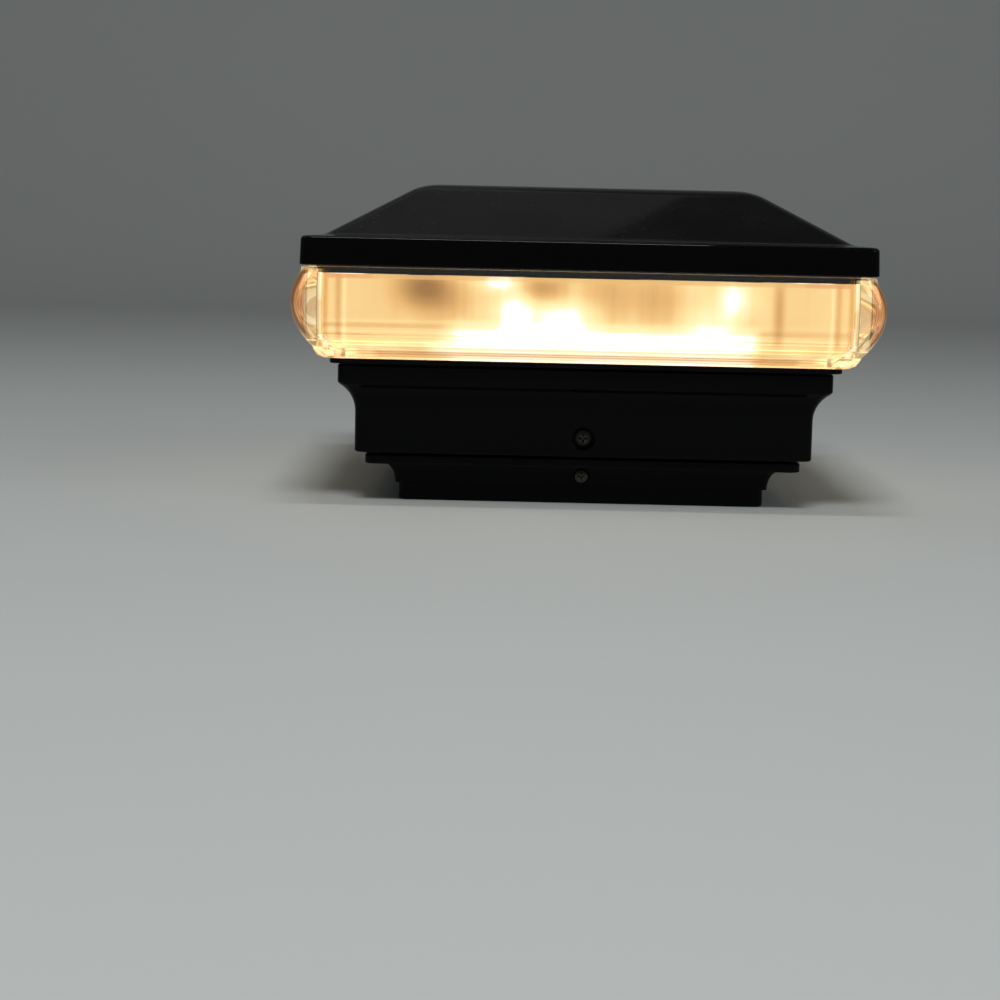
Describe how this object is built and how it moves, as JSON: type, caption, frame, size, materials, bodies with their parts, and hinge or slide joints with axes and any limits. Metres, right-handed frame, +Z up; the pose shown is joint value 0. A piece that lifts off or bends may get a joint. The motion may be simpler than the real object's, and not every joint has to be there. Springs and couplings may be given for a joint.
{
  "type": "fence post cap",
  "caption": "Square hipped post cap with a solar panel, a thick clear lit lens and a moulded two-tier base that slips over a post.",
  "frame": {"origin": "middle of the bottom rim of the base", "axes": "+Z up the post, -Y the front"},
  "size_m": [0.184, 0.184, 0.1015],
  "materials": {
    "gloss_black_plastic": "glossy moulded black",
    "satin_black_plastic": "satin moulded black",
    "clear_acrylic": "clear moulded acrylic, thick",
    "milky_plastic": "milky diffusing sheet, lit warm from inside",
    "white_plastic": "white reflecting plastic",
    "black_seal": "soft black seal",
    "solar_cell": "dark blue-black solar cells",
    "panel_cover_clear": "clear cover of the solar panel",
    "steel_screw": "plated steel",
    "dark_screw": "black-finished steel",
    "nickel_contact": "nickel-plated spring steel",
    "circuit_board_green": "green solder mask",
    "chip_black_plastic": "moulded chip and switch body",
    "ferrite": "dark ferrite",
    "capacitor_can": "bright can",
    "led_epoxy": "warm LED, lit",
    "cell_sleeve": "plain green sleeve",
    "red_lead": "red insulation",
    "black_lead": "black insulation",
    "white_knob": "off-white slider"
  },
  "bodies": {
    "base": {"base_skirt": "gloss_black_plastic", "post_adapter": "satin_black_plastic", "adapter_screw_front": "dark_screw", "adapter_screw_right": "dark_screw", "adapter_screw_back": "dark_screw", "adapter_screw_left": "dark_screw", "post_screw_front": "steel_screw", "post_screw_right": "steel_screw", "post_screw_back": "steel_screw", "post_screw_left": "steel_screw"},
    "head": {"roof_cap": "gloss_black_plastic", "head_tray": "satin_black_plastic", "lens_retainer": "satin_black_plastic", "lens_ring": "clear_acrylic", "diffuser_sleeve": "milky_plastic", "ceiling_plate": "white_plastic", "reflector_plate": "white_plastic", "lens_gasket_top": "black_seal", "lens_gasket_bottom": "black_seal", "panel_seal": "black_seal", "door_seal": "black_seal", "solar_cells": "solar_cell", "panel_cover": "panel_cover_clear", "ceiling_screw_front": "steel_screw", "ceiling_screw_right": "steel_screw", "ceiling_screw_back": "steel_screw", "ceiling_screw_left": "steel_screw", "tray_screw_front_left": "steel_screw", "tray_screw_front_right": "steel_screw", "tray_screw_back_right": "steel_screw", "tray_screw_back_left": "steel_screw", "hinge_pin": "steel_screw", "cell_spring_left": "nickel_contact", "cell_spring_right": "nickel_contact", "contact_negative": "nickel_contact", "contact_positive": "nickel_contact", "contact_link": "nickel_contact", "circuit_board": "circuit_board_green", "led_board_front": "circuit_board_green", "led_board_back": "circuit_board_green", "driver_chip": "chip_black_plastic", "switch_body": "chip_black_plastic", "boost_coil": "ferrite", "capacitor": "capacitor_can", "led_front_left": "led_epoxy", "led_front_right": "led_epoxy", "led_back_right": "led_epoxy", "led_back_left": "led_epoxy", "cell_left": "cell_sleeve", "cell_right": "cell_sleeve", "panel_lead_red": "red_lead", "battery_lead_red": "red_lead", "panel_lead_black": "black_lead", "battery_lead_black": "black_lead"},
    "battery_door": {"battery_door": "satin_black_plastic"},
    "switch_knob": {"switch_knob": "white_knob"}
  },
  "joints": [
    {"name": "head_lift", "type": "slide", "parent": "base", "child": "head", "axis": [0, 0, 1], "range_m": [0, 0.04]},
    {"name": "battery_door_hinge", "type": "hinge", "parent": "head", "child": "battery_door", "pos_m": [-0.021, 0, 0.0425], "axis": [0, 1, 0], "range_deg": [0, 95]},
    {"name": "switch_slide", "type": "slide", "parent": "head", "child": "switch_knob", "axis": [1, 0, 0], "range_m": [0, 0.0036]}
  ]
}
